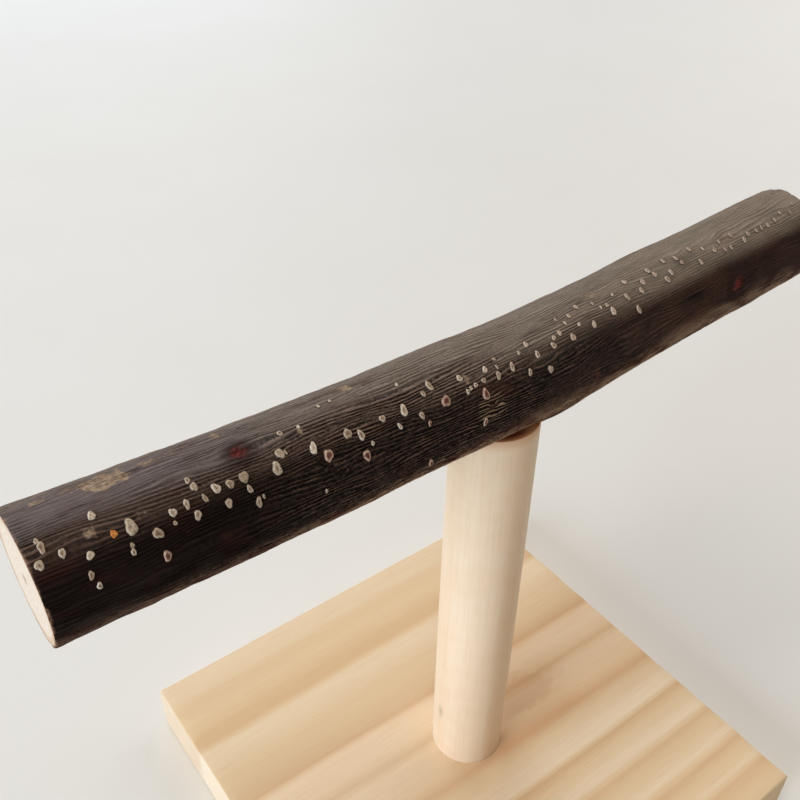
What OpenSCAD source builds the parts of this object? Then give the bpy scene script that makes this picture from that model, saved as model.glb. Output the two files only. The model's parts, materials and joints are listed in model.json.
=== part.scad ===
// Tabletop bird perch: a natural branch with its bark on sits across the top of a
// round post, and the post stands in a socket in a square softwood board.
// Millimetres, +Z up. The origin is the middle of the board's underside, and the
// branch runs along X.

/* [Board] */
// Length of the board, along the branch
board_length = 150; // [110:1:240]
// Width of the board, across the branch
board_width = 150; // [110:1:240]
// Thickness of the board
board_thickness = 18; // [14:1:30]
// Width of the bevel that eases every edge of the board
board_ease = 0.6; // [0.2:0.1:2]

/* [Post] */
// Diameter of the post
post_diameter = 23; // [20:0.5:34]
// Height of the post above the board
post_height = 136; // [100:1:260]
// Depth of the socket that holds the foot of the post
socket_depth = 6; // [3:0.5:8]
// Distance of the post from the middle of the board, along the branch
post_offset_x = 1; // [-20:0.1:20]
// Distance of the post from the middle of the board, across the branch
post_offset_y = -0.8; // [-20:0.1:20]
// Width of the bevel round both ends of the post
post_ease = 0.4; // [0.2:0.1:1]
// Gap between the post and the bores that it stands in, on the diameter
post_clearance = 0.2; // [0.1:0.05:0.6]

/* [Branch] */
// Length of the branch between its two sawn ends
branch_length = 236; // [160:1:360]
// Mean diameter of the branch over its bark
branch_diameter = 27.6; // [25:0.2:40]
// Distance from the post's axis to the middle of the branch
branch_offset = 3; // [-15:0.5:15]
// Thickness of the bark
bark_thickness = 1.2; // [0.6:0.1:2]
// Depth of the round seat that is bored into the underside of the branch
seat_depth = 4.3; // [2:0.1:5]

/* [Board screw] */
// Length of the countersunk screw that holds the board to the post
board_screw_length = 50; // [35:1:60]
// Diameter of the screw's shank
board_screw_diameter = 4.5; // [3.5:0.1:6]
// Diameter of the screw's head
board_screw_head = 9; // [7.5:0.1:12]
// Depth of the head below the board's underside
board_screw_recess = 0.5; // [0.2:0.1:1.5]
// Width of the cross recess in the head
drive_width = 4.6; // [3:0.1:6]
// Width of each arm of the cross recess
drive_arm = 1.1; // [0.6:0.1:1.6]
// Depth of the cross recess
drive_depth = 2.2; // [1:0.1:2.4]
// Gap between the screw and its bore through the board, on the diameter
shank_clearance = 0.4; // [0.2:0.1:1]

/* [Branch screw] */
// Diameter of the double-ended screw between the post and the branch
branch_screw_diameter = 5.5; // [4:0.1:7]
// Depth to which it is screwed into the post
branch_screw_in_post = 24; // [15:1:34]
// Depth to which it is screwed into the branch
branch_screw_in_branch = 15; // [8:1:15]
// Gap between either screw and its pilot bore, on the diameter
pilot_clearance = 0.1; // [0.05:0.05:0.3]
// Depth of a pilot bore past the tip of its screw
pilot_spare = 1; // [0.5:0.1:2]

/* [Hidden] */
$fn = 96;

// One overrun serves every cut that has to pass a face
cut_overrun = 1;

// Heights that the pieces share
socket_floor = board_thickness - socket_depth;
post_top = board_thickness + post_height;

// A pointed screw tip is this many times as long as the screw is thick
tip_length_share = 1.2;
tip_width_share = 0.12;
// The cross recess narrows to this share of its width at its floor
drive_taper_share = 0.45;

// The branch as it grew. Each row is one place along the branch: how far along,
// then its sideways and upward shift as shares of the diameter, then its girth
// as a share of the mean girth. It bends where it crosses the post.
bend_shares = [
    [0.00, 0.074, 0.095, 1.020],
    [0.10, 0.029, 0.098, 1.000],
    [0.23, 0.034, 0.050, 0.990],
    [0.38, 0.049, 0.015, 0.978],
    [0.52, 0.061, -0.010, 1.004],
    [0.70, 0.144, -0.010, 1.002],
    [0.86, 0.209, 0.015, 1.006],
    [1.00, 0.269, 0.028, 1.022],
];

// Knots and swellings, where a twig once grew. Each row is how far along, the
// turn round the branch in degrees (0 is +Y, 90 is up), then the height, the
// length and the width of the swelling as shares of the diameter.
knot_shares = [
    [0.10, 150, 0.020, 0.40, 0.30],
    [0.28, 205, 0.010, 0.30, 0.30],
    [0.43, 80, 0.018, 0.45, 0.40],
    [0.545, 215, 0.024, 0.34, 0.34],
    [0.61, 250, 0.012, 0.34, 0.40],
    [0.74, 20, 0.024, 0.40, 0.34],
    [0.88, 230, 0.010, 0.30, 0.30],
    [0.93, 100, 0.016, 0.40, 0.40],
];

// The section is a little oval and has three soft lobes that wander along it
oval_share = 0.012;
oval_turn = 35;
lobe_share = 0.008;
lobe_twist = 200;
// The wood follows this share of the swelling of the bark
wood_swell_share = 0.7;

// Number of sections along the branch, and of points round each section
section_count = 48;
section_points = 36;

// The section of bend_shares that holds the place t along the branch
function stretch_at(t, i = 0) =
    i >= len(bend_shares) - 2 || t < bend_shares[i + 1][0] ? i : stretch_at(t, i + 1);

// Slope of column k of bend_shares at row i
function bend_slope(i, k) =
    let (before = bend_shares[max(i - 1, 0)], after = bend_shares[min(i + 1, len(bend_shares) - 1)])
    (after[k] - before[k]) / (after[0] - before[0]);

// Column k of bend_shares at the place t, on a smooth curve through the rows
function bend_at(t, k) =
    let (
        i = stretch_at(t),
        span = bend_shares[i + 1][0] - bend_shares[i][0],
        u = (t - bend_shares[i][0]) / span,
        blend = u * u * (3 - 2 * u)
    )
    bend_shares[i][k] * (1 - blend) + bend_shares[i + 1][k] * blend
        + span * bend_slope(i, k) * u * (1 - u) * (1 - u)
        - span * bend_slope(i + 1, k) * u * u * (1 - u);

// Smallest turn between two directions round the branch
function turn_between(a, b) = abs((a - b + 540) % 360 - 180);

// Height of one knot's swelling at the place t and the turn a, a share of the diameter
function knot_swell(knot, t, a) =
    let (
        along = (t - knot[0]) * branch_length / (knot[3] * branch_diameter),
        round_it = turn_between(a, knot[1]) * PI / 360 / knot[4]
    )
    knot[2] * exp(-along * along - round_it * round_it);

// Sum of a list of numbers
function total(values, i = 0) = i < len(values) ? values[i] + total(values, i + 1) : 0;

// Swelling of all the knots at the place t and the turn a
function swell_at(t, a) = total([for (knot = knot_shares) knot_swell(knot, t, a)]);

// Radius over the bark without its knots
function trunk_radius(t, a) =
    branch_diameter / 2 * bend_at(t, 3)
        * (1 + oval_share * cos(2 * (a - oval_turn)) + lobe_share * sin(3 * a + lobe_twist * t));

function bark_radius(t, a) = trunk_radius(t, a) + branch_diameter * swell_at(t, a);

function wood_radius(t, a) =
    trunk_radius(t, a) - bark_thickness + branch_diameter * wood_swell_share * swell_at(t, a);

// The point at the turn a of the section at t, with the given radius, measured from
// the post's axis
function section_point(t, a, radius) = [
    branch_offset + branch_length * (t - 0.5),
    branch_diameter * bend_at(t, 1) + radius * cos(a),
    post_top - seat_depth + branch_diameter * (0.5 + bend_at(t, 2)) + radius * sin(a)
];

// All the points of the bark's outside, or of the wood's
function branch_skin(over_bark) = [
    for (section = [0 : section_count - 1], side = [0 : section_points - 1])
        let (
            t = section / (section_count - 1),
            a = side * 360 / section_points,
            radius = over_bark ? bark_radius(t, a) : wood_radius(t, a)
        )
        section_point(t, a, radius)
];

// Number of the point at one side of one section
function point_at(section, side) = section * section_points + side % section_points;

// The four-sided faces between two neighbouring sections, seen from outside
function skin_faces() = [
    for (section = [0 : section_count - 2], side = [0 : section_points - 1])
        each [
            [point_at(section, side), point_at(section, side + 1), point_at(section + 1, side)],
            [point_at(section, side + 1), point_at(section + 1, side + 1), point_at(section + 1, side)],
        ]
];

// The same faces turned over and moved on by a number of points
function turned_faces(faces, shift) = [
    for (face = faces) [face[0] + shift, face[2] + shift, face[1] + shift]
];

// The ring of faces that joins an outer skin to an inner one at one section
function rim_faces(section, shift) = [
    for (side = [0 : section_points - 1])
        each [
            [point_at(section, side), point_at(section, side) + shift, point_at(section, side + 1)],
            [point_at(section, side + 1), point_at(section, side) + shift, point_at(section, side + 1) + shift],
        ]
];

// Moves what is built about the Z axis to the post's axis
module on_post() {
    translate([post_offset_x, post_offset_y, 0])
        children();
}

// The solid inside the wood's skin, closed with a flat sawn end at each end
module wood_solid() {
    first_end = [for (side = [section_points - 1 : -1 : 0]) point_at(0, side)];
    last_end = [for (side = [0 : section_points - 1]) point_at(section_count - 1, side)];
    polyhedron(points = branch_skin(false), faces = concat(skin_faces(), [first_end, last_end]));
}

// The sleeve between the bark's skin and the wood's, open at both ends
module bark_sleeve() {
    shift = section_count * section_points;
    polyhedron(
        points = concat(branch_skin(true), branch_skin(false)),
        faces = concat(
            skin_faces(),
            turned_faces(skin_faces(), shift),
            rim_faces(0, shift),
            turned_faces(rim_faces(section_count - 1, shift), 0)
        )
    );
}

// The bore that lets the top of the post into the underside of the branch
module seat_cut() {
    translate([0, 0, post_top - branch_diameter])
        cylinder(h = branch_diameter, d = post_diameter + post_clearance);
}

// A rectangle about the origin with its corners cut off by the width of the ease
module eased_outline(length, width) {
    x = length / 2;
    y = width / 2;
    polygon([
        [x, y - board_ease], [x - board_ease, y], [board_ease - x, y], [-x, y - board_ease],
        [-x, board_ease - y], [board_ease - x, -y], [x - board_ease, -y], [x, board_ease - y],
    ]);
}

// The board before it is bored, with all twelve edges eased
module board_blank() {
    middle = board_thickness / 2;
    intersection() {
        linear_extrude(board_thickness)
            eased_outline(board_length, board_width);
        translate([0, board_width / 2, middle])
            rotate([90, 0, 0])
                linear_extrude(board_width)
                    eased_outline(board_length, board_thickness);
        translate([-board_length / 2, 0, middle])
            rotate([90, 0, 90])
                linear_extrude(board_length)
                    eased_outline(board_width, board_thickness);
    }
}

// A screw tip that points up
module screw_tip(diameter) {
    cylinder(h = diameter * tip_length_share, d1 = diameter, d2 = diameter * tip_width_share);
}

// The recess for a cross-head driver, in the head's underside
module cross_recess() {
    intersection() {
        translate([0, 0, -cut_overrun])
            cylinder(h = drive_depth + cut_overrun, d1 = drive_width, d2 = drive_width * drive_taper_share);
        for (turn = [0, 90])
            rotate([0, 0, turn])
                translate([-drive_width / 2, -drive_arm / 2, -cut_overrun])
                    cube([drive_width, drive_arm, drive_depth + 2 * cut_overrun]);
    }
}

// Board of solid softwood, with the post's socket above and the screw's countersink below.
// The hand-drilled socket lies a little off the middle.
module base_board() {
    sink_height = (board_screw_head - board_screw_diameter) / 2;
    sink_top = board_screw_recess + sink_height;
    sink_mouth = board_screw_diameter + 2 * (sink_top + cut_overrun);
    color("burlywood")
        difference() {
            board_blank();
            on_post() {
                translate([0, 0, socket_floor])
                    cylinder(h = socket_depth + cut_overrun, d = post_diameter + post_clearance);
                translate([0, 0, -cut_overrun])
                    cylinder(h = board_thickness, d = board_screw_diameter + shank_clearance);
                translate([0, 0, -cut_overrun])
                    cylinder(h = sink_top + cut_overrun, d1 = sink_mouth, d2 = board_screw_diameter);
            }
        }
}

// Round post with eased ends and a pilot bore in each end
module post() {
    foot_bore = board_screw_recess + board_screw_length - socket_floor + pilot_spare;
    head_bore = branch_screw_in_post + pilot_spare;
    length = post_height + socket_depth;
    radius = post_diameter / 2;
    color("wheat")
        on_post()
            difference() {
                translate([0, 0, socket_floor])
                    rotate_extrude()
                        polygon([
                            [0, 0], [radius - post_ease, 0], [radius, post_ease],
                            [radius, length - post_ease], [radius - post_ease, length], [0, length],
                        ]);
                translate([0, 0, socket_floor - cut_overrun])
                    cylinder(h = foot_bore + cut_overrun, d = board_screw_diameter + pilot_clearance);
                translate([0, 0, post_top - head_bore])
                    cylinder(h = head_bore + cut_overrun, d = branch_screw_diameter + pilot_clearance);
            }
}

// Countersunk wood screw, driven up through the board into the post
module base_screw() {
    head_height = (board_screw_head - board_screw_diameter) / 2;
    tip_height = board_screw_diameter * tip_length_share;
    color("silver")
        on_post()
            translate([0, 0, board_screw_recess])
                difference() {
                    union() {
                        cylinder(h = head_height, d1 = board_screw_head, d2 = board_screw_diameter);
                        cylinder(h = board_screw_length - tip_height, d = board_screw_diameter);
                        translate([0, 0, board_screw_length - tip_height])
                            screw_tip(board_screw_diameter);
                    }
                    cross_recess();
                }
}

// Headless screw with a point at each end, half in the post and half in the branch
module branch_screw() {
    tip_height = branch_screw_diameter * tip_length_share;
    color("silver")
        on_post()
            translate([0, 0, post_top]) {
                translate([0, 0, tip_height - branch_screw_in_post])
                    cylinder(
                        h = branch_screw_in_post + branch_screw_in_branch - 2 * tip_height,
                        d = branch_screw_diameter
                    );
                translate([0, 0, branch_screw_in_branch - tip_height])
                    screw_tip(branch_screw_diameter);
                translate([0, 0, tip_height - branch_screw_in_post])
                    mirror([0, 0, 1])
                        screw_tip(branch_screw_diameter);
            }
}

// The wood of the branch, with the seat and a pilot bore in its underside
module branch_wood() {
    color("bisque")
        on_post()
            difference() {
                wood_solid();
                seat_cut();
                translate([0, 0, post_top - cut_overrun])
                    cylinder(
                        h = branch_screw_in_branch + pilot_spare + cut_overrun,
                        d = branch_screw_diameter + pilot_clearance
                    );
            }
}

// The bark that is left on the branch, cut away over the seat
module branch_bark() {
    color([0.22, 0.17, 0.15])
        on_post()
            difference() {
                bark_sleeve();
                seat_cut();
            }
}

base_board();
post();
base_screw();
branch_screw();
branch_wood();
branch_bark();
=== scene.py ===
import json
import random
from math import cos, pi, radians, sin

import bpy
import numpy as np
from mathutils import Matrix, Vector

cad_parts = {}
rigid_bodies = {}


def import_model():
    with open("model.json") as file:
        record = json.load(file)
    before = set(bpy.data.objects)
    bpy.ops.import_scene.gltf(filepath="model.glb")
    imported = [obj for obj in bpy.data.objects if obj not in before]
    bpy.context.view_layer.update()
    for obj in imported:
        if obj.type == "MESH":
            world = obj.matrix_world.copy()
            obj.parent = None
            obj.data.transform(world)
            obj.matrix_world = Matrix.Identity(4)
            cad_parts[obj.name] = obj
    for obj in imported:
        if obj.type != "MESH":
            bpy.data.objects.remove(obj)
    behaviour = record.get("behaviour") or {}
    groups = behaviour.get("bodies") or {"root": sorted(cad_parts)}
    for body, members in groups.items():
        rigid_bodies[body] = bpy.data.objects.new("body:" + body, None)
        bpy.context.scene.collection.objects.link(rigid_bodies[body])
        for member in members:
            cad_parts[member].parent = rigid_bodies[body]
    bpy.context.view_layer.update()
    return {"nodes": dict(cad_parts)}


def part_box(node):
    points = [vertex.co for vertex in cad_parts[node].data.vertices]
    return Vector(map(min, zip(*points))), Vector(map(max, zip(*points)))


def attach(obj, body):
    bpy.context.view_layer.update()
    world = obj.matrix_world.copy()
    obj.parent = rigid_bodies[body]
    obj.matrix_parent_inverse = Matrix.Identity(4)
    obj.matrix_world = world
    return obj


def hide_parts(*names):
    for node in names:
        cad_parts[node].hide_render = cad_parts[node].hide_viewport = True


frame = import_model()
mm = 0.001
print("frame loaded:", ", ".join(frame["nodes"]))


def sign(operation):  # an operator that adds a Math node
    return lambda wire, other: wire.maths(operation, other)


# A Wire is one socket, and sums on wires add Math nodes
class Wire:
    def __init__(self, finish, socket):
        self.finish, self.socket = finish, socket

    def maths(self, operation, *others, clamp=False):
        values = dict(enumerate((self, *others)))
        return self.finish.node("Math", {"operation": operation, "use_clamp": clamp}, values)

    __add__ = __radd__ = sign("ADD")
    __mul__ = __rmul__ = sign("MULTIPLY")
    __sub__, __truediv__ = sign("SUBTRACT"), sign("DIVIDE")

    def __rsub__(self, other):
        return self.finish.node("Math", {"operation": "SUBTRACT"}, {0: other, 1: self})

    def hypot(self, other):
        return (self * self + other * other).maths("SQRT")

    def clamped(self):
        return self.maths("ADD", 0, clamp=True)

    def between(self, low, high):  # smooth step from 0 at low to 1 at high
        if low > high:
            return 1 - self.between(high, low)
        return self.finish.node("MapRange", {"interpolation_type": "SMOOTHSTEP"}, {0: self, 1: low, 2: high})


class Finish:  # one material while it is built
    def __init__(self, name):
        self.material = bpy.data.materials.new(name)
        self.material.use_nodes = True
        self.tree = self.material.node_tree
        self.tree.nodes.clear()

    def node(self, kind, settings=None, values=None, output=0):
        made = self.tree.nodes.new("ShaderNode" + kind)
        for name, value in (settings or {}).items():
            if name == "stops":
                self.setStops(made.color_ramp, value)
            else:
                setattr(made, name, value)
        for name, value in (values or {}).items():
            if isinstance(value, Wire):
                self.tree.links.new(value.socket, made.inputs[name])
            else:
                made.inputs[name].default_value = value
        return Wire(self, made.outputs[output]) if made.outputs else None

    def setStops(self, ramp, stops):
        while len(ramp.elements) < len(stops):
            ramp.elements.new(1)
        for element, (place, tone) in zip(ramp.elements, stops):
            element.position = place
            element.color = (tone, tone, tone, 1)

    def mix(self, factor, first, second, blend="MIX"):  # colours, as sockets or as read on screen
        first, second = [linear(c) if isinstance(c, tuple) else c for c in (first, second)]
        return self.node("Mix", {"data_type": "RGBA", "blend_type": blend}, {0: factor, 6: first, 7: second}, 2)

    def coats(self, colour, *coats):  # lays each coat, an amount and a colour, over the last
        for amount, coat in coats:
            colour = self.mix(amount, colour, coat)
        return colour

    def vector(self, operation, first, second):
        return self.node("VectorMath", {"operation": operation}, {0: first, 1: second})

    def parts(self, vector):  # its three numbers
        first = self.node("SeparateXYZ", None, {"Vector": vector})
        return [Wire(self, output) for output in first.socket.node.outputs]

    def place(self, stretch=(1, 1, 1)):  # Object coordinates in millimetres, stretched
        where = self.node("TexCoord", output="Object")
        return self.vector("MULTIPLY", where, tuple(1000 * s for s in stretch))

    def noise(self, where, scale, detail=3, rough=0.5):  # where: a socket, or the place stretched
        where = self.place(where) if isinstance(where, tuple) else where
        values = {"Vector": where, "Scale": scale, "Detail": detail, "Roughness": rough}
        return self.node("TexNoise", {"noise_dimensions": "3D"}, values)

    def reading(self, name, output="Fac"):  # what the piece's own points keep
        return self.node("Attribute", {"attribute_name": name}, output=output)

    def close(self, colour, roughness, height, depth, **fixed):
        bump = self.node("Bump", None, {"Height": height, "Distance": depth, "Strength": 1})
        values = {"Base Color": colour, "Roughness": roughness, "Normal": bump}
        values.update({name.replace("_", " "): value for name, value in fixed.items()})
        shader = self.node("BsdfPrincipled", None, values)
        self.node("OutputMaterial", None, {"Surface": shader})
        return self.material


def linear(shown):  # a colour as read on screen, made linear
    return tuple(((c / 255 + 0.055) / 1.055) ** 2.4 if c > 10 else c / 3294.6 for c in shown) + (1,)


def only(*pieces):  # selects these pieces alone, the first one active
    for other in bpy.context.view_layer.objects:
        other.select_set(other in pieces)
    bpy.context.view_layer.objects.active = pieces[0]


def joined(*pieces):
    only(*pieces)
    bpy.ops.object.join()
    return bpy.context.object


def editPicked(piece, kind, wanted):  # edits the edges or faces that pass a test on their points
    only(piece)
    data = piece.data
    for group in (data.vertices, data.edges, data.polygons):
        group.foreach_set("select", [False] * len(group))
    bpy.context.tool_settings.mesh_select_mode = (False, kind == "edges", kind == "polygons")
    for part in getattr(data, kind):
        part.select = wanted([data.vertices[i].co for i in part.vertices])
    bpy.ops.object.mode_set(mode="EDIT")


def editAll(piece):
    only(piece)
    bpy.ops.object.mode_set(mode="EDIT")
    bpy.ops.mesh.select_all(action="SELECT")


def closeEdit():
    bpy.ops.object.mode_set(mode="OBJECT")
    return bpy.context.object


def settle(piece):  # keeps its place in its mesh
    only(piece)
    bpy.ops.object.transform_apply(location=True, rotation=True, scale=True)
    return piece


def addToMesh(piece, **readings):  # keeps a number, or three, on each point under each name
    for name, values in readings.items():
        kind, field = ("FLOAT_VECTOR", "vector") if values.ndim == 2 else ("FLOAT", "value")
        made = piece.data.attributes.new(name, kind, "POINT")
        made.data.foreach_set(field, values.astype(np.float32).ravel())


def pointsOf(piece):
    flat = np.empty(len(piece.data.vertices) * 3)
    piece.data.vertices.foreach_get("co", flat)
    return flat.reshape(-1, 3)


def setPoints(piece, points):
    piece.data.vertices.foreach_set("co", points.ravel())
    piece.data.update()


def recalculated(piece):  # all faces outwards
    editAll(piece)
    bpy.ops.mesh.normals_make_consistent(inside=False)
    return closeEdit()


def cutAway(piece, *cutters):
    for cutter in cutters:
        cut = piece.modifiers.new("cut", "BOOLEAN")
        cut.operation, cut.solver, cut.object = "DIFFERENCE", "EXACT", cutter
        only(piece)
        bpy.ops.object.modifier_apply(modifier=cut.name)
        bpy.data.objects.remove(cutter)


def smoothed(piece, angle):
    only(piece)
    bpy.ops.object.shade_smooth_by_angle(angle=radians(angle))


def finished(piece, material, stands=None):  # dressed and tied to the frame
    piece.data.materials.clear()
    piece.data.materials.append(material)
    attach(piece, "root")
    if stands:
        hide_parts(stands)
    print(piece.name + ":", len(piece.data.polygons), "faces")


hashPrimes = (73856093, 19349663, 83492791)
hashSize = 4096


def smoothNoise(points, seed):  # soft random hills between -1 and 1
    table = np.random.default_rng(seed).uniform(-1, 1, hashSize)
    cell = np.floor(points).astype(np.int64)
    f = points - cell
    f = f * f * (3 - 2 * f)
    total = 0
    for corner in np.ndindex(2, 2, 2):
        weight, mixed = 1, 0
        for axis, step in enumerate(corner):
            weight = weight * np.where(step, f[..., axis], 1 - f[..., axis])
            mixed = mixed ^ (cell[..., axis] + step) * hashPrimes[axis]
        total = total + weight * table[mixed & (hashSize - 1)]
    return total


def cylinder(width, low, high, sides):  # stands on the post's axis, to cut with
    bpy.ops.mesh.primitive_cylinder_add(
        vertices=sides, radius=width / 2, depth=high - low, location=(*postAxis, (low + high) / 2),
    )
    return bpy.context.object


postLow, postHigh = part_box("post")
postAxis = ((postLow[0] + postHigh[0]) / 2, (postLow[1] + postHigh[1]) / 2)
postRadius = (postHigh[0] - postLow[0]) / 2

# The branch's form: the same bend, girth and knots as the solids have
branchSettings = {
    "diameter": 27.6 * mm, "bark": 1.2 * mm, "seatDepth": 4.3 * mm, "seatWidth": 23.2 * mm,
    "boreWidth": 5.6 * mm, "boreOver": 1 * mm,  # how far the bore goes past the screw and its cutter past the seat
    "start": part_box("branch_bark")[0][0], "end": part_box("branch_bark")[1][0],
    "bendShares": [
        (0, 0.074, 0.095, 1.02), (0.1, 0.029, 0.098, 1), (0.23, 0.034, 0.05, 0.99),
        (0.38, 0.049, 0.015, 0.978), (0.52, 0.061, -0.01, 1.004), (0.7, 0.144, -0.01, 1.002),
        (0.86, 0.209, 0.015, 1.006), (1, 0.269, 0.028, 1.022),
    ],
    "knotShares": [
        (0.1, 150, 0.02, 0.4, 0.3), (0.28, 205, 0.01, 0.3, 0.3), (0.43, 80, 0.018, 0.45, 0.4),
        (0.545, 215, 0.024, 0.34, 0.34), (0.61, 250, 0.012, 0.34, 0.4), (0.74, 20, 0.024, 0.4, 0.34),
        (0.88, 230, 0.01, 0.3, 0.3), (0.93, 100, 0.016, 0.4, 0.4),
    ],
    "ovalShare": 0.012, "ovalTurn": 35, "lobeShare": 0.008, "lobeTwist": 200, "woodSwellShare": 0.7,
}
branchLength = branchSettings["end"] - branchSettings["start"]
girthRadius = branchSettings["diameter"] / 2 / mm


def bendAt(t, column):  # a smooth curve through the rows of bendShares
    rows = np.array(branchSettings["bendShares"])
    places, values = rows[:, 0], rows[:, column]
    before, after = np.maximum(np.arange(len(rows)) - 1, 0), np.minimum(np.arange(len(rows)) + 1, len(rows) - 1)
    slopes = (values[after] - values[before]) / (places[after] - places[before])
    i = np.clip(np.searchsorted(places, t, side="right") - 1, 0, len(rows) - 2)
    span = places[i + 1] - places[i]
    u = (t - places[i]) / span
    blend = u * u * (3 - 2 * u)
    ends = values[i] * (1 - blend) + values[i + 1] * blend
    return ends + span * slopes[i] * u * (1 - u) ** 2 - span * slopes[i + 1] * u * u * (1 - u)


def turnFrom(a, b):  # turn from b to a in degrees, between -180 and 180
    return (a - b + 540) % 360 - 180


def swellAt(t, a):
    total = 0
    for along, turn, height, length, width in branchSettings["knotShares"]:
        far = (t - along) * branchLength / (length * branchSettings["diameter"])
        aside = np.abs(turnFrom(a, turn)) * pi / 360 / width
        total = total + height * np.exp(-far * far - aside * aside)
    return total


def trunkRadius(t, a):
    s = branchSettings
    oval = s["ovalShare"] * np.cos(np.radians(2 * (a - s["ovalTurn"])))
    lobes = s["lobeShare"] * np.sin(np.radians(3 * a + s["lobeTwist"] * t))
    return s["diameter"] / 2 * bendAt(t, 3) * (1 + oval + lobes)


def barkRadius(t, a):
    return trunkRadius(t, a) + branchSettings["diameter"] * swellAt(t, a)


def woodRadius(t, a):
    s = branchSettings
    return trunkRadius(t, a) - s["bark"] + s["diameter"] * s["woodSwellShare"] * swellAt(t, a)


def branchMiddle(t):  # the pith, in the frame
    s = branchSettings
    y = postAxis[1] + s["diameter"] * bendAt(t, 1)
    z = postHigh[2] - s["seatDepth"] + s["diameter"] * (0.5 + bendAt(t, 2))
    return s["start"] + branchLength * t, y, z


def branchPoint(t, a, radius):
    x, y, z = branchMiddle(t)
    return np.stack([x + 0 * a, y + radius * np.cos(np.radians(a)), z + radius * np.sin(np.radians(a))], -1)


def branchPlace(points):  # share of the length, turn and radius of points in the frame
    t = np.clip((points[:, 0] - branchSettings["start"]) / branchLength, 0, 1)
    x, y, z = branchMiddle(t)
    aside, above = points[:, 1] - y, points[:, 2] - z
    return t, np.degrees(np.arctan2(above, aside)) % 360, np.hypot(aside, above)


def seatCutter():
    s = branchSettings
    return cylinder(s["seatWidth"], postHigh[2] - s["diameter"], postHigh[2], 128)


# Marks on the bark: millimetres from the sawn left end, degrees round (0 back, 90 up),
# then half sizes in millimetres
barkSettings = {
    "rings": 210, "innerRings": 10,
    # from and to turns that the photo shows, sides there, sides elsewhere
    "sides": (30, 240, 252, 120),
    # closer rings at the chipped ends and at the wrinkles
    "ringShares": [(0, 0), (0.03, 0.008), (0.35, 0.395), (0.49, 0.475), (0.97, 0.992), (1, 1)],
    "rim": (0.3, 0.65),
    "ridge": 0.34, "hills": 0.07, "sunk": 0.24,
    "chip": (0.14, 0.42, 0.4),  # how far in from the saw cut, how ragged, how deep
    # along, turn, half length, half width, depth of the hollow, 1 where it is red
    "knots": [
        (43.5, 104, 2.5, 2.2, 0.25, 1), (196.5, 165, 2.8, 2.4, 0.3, 1), (177, 153, 4.4, 0.9, 0.2, 0),
        (93.3, 250, 2, 1.5, 0.3, 0), (60, 322, 2.2, 2, 0.4, 1), (150, 352, 1.8, 1.8, 0.35, 0),
        (205, 300, 2.4, 2, 0.35, 1), (28, 20, 1.8, 2.2, 0.3, 0), (120, 12, 1.6, 1.7, 0.3, 1),
        (182, 8, 1.9, 1.8, 0.3, 0),
    ],
    # along, turn, half length, half width, strength: scaly tan patches
    "patches": [
        (18.6, 77, 4.6, 3.4, 1), (27.5, 74, 3.4, 1.6, 0.5), (12.2, 73, 2.8, 1.6, 0.5),
        (33.5, 71, 3.4, 1.5, 0.5), (6, 74, 1.3, 1, 1), (11.8, 121, 1.8, 1.7, 0.6), (20.2, 124, 1.4, 1.2, 0.5),
        (73.2, 76, 1.2, 1.8, 1), (42.2, 71, 1.5, 1.3, 0.8), (19.8, 108, 2.4, 0.8, 0.3),
        (137, 182, 2.2, 2.4, 0.55), (134, 190, 2, 2, 0.45), (117.3, 183, 0.7, 2.6, 0.55),
        (122.5, 182, 0.9, 1.3, 0.6), (145.6, 97, 1.5, 1.4, 1), (57.4, 107, 1.2, 1, 0.7),
        (76.2, 106, 1.8, 0.9, 0.3), (98.9, 124, 0.7, 1.6, 0.9), (114, 152, 1.5, 0.9, 0.6),
        (114.3, 163, 1.2, 0.7, 0.5), (9.6, 219, 2.4, 1.4, 0.5), (18, 215, 4.6, 2, 0.8),
        (34, 218, 3.6, 1.6, 0.6), (108, 116, 0.9, 0.6, 0.7), (214, 76, 3, 1.6, 0.5), (205, 97, 3.6, 1.4, 0.5),
        (216, 96, 3, 1.4, 0.5), (170, 330, 5, 3, 0.9), (70, 10, 4, 3, 0.9), (48, 285, 3.5, 2.6, 0.8),
        (213, 20, 3, 2.4, 0.8),
    ],
    "wrinkled": (103, 160, 4.6, 3.8), "ribs": 106,
    # how the ribs wander: length, width, seed, millimetres, and as much more where wrinkled
    "sways": [(30, 7, 3, 1.5, 0), (10, 2.3, 4, 0.6, 0), (2.4, 1.3, 5, 0.1, 0.5), (1.3, 0.9, 6, 0.03, 0.25)],
    "parting": (2.6, 1.7, 0.4),  # the ribs part this far along and round a knot, and this much
    "lip": (0.3, 0.38), "hollow": (1.3, 0.6), "halo": 2,  # round a knot: height or depth, and width
    "patchRise": 0.09, "patchEdge": 1.5, "chipSlope": 0.35,
    "bruise": (0.7, 0.4),  # round the post's seat: how far, how soft
    "bruiseTop": (1.4, 0.5),  # and over the post's top
    "worn": (95, 90, 0.5),  # the ribs are flatter toward the right end: from, over, share
    "wornTop": (80, 32, 0.3),  # and round the top: turn, width, share
    "weld": 0.000001,
}


def markDistance(t, a, mark):  # 1 on the rim of an oval mark
    along = (t * branchLength / mm - mark[0]) / mark[2]
    return np.hypot(along, np.radians(turnFrom(a, mark[1])) * girthRadius / mark[3])


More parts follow.
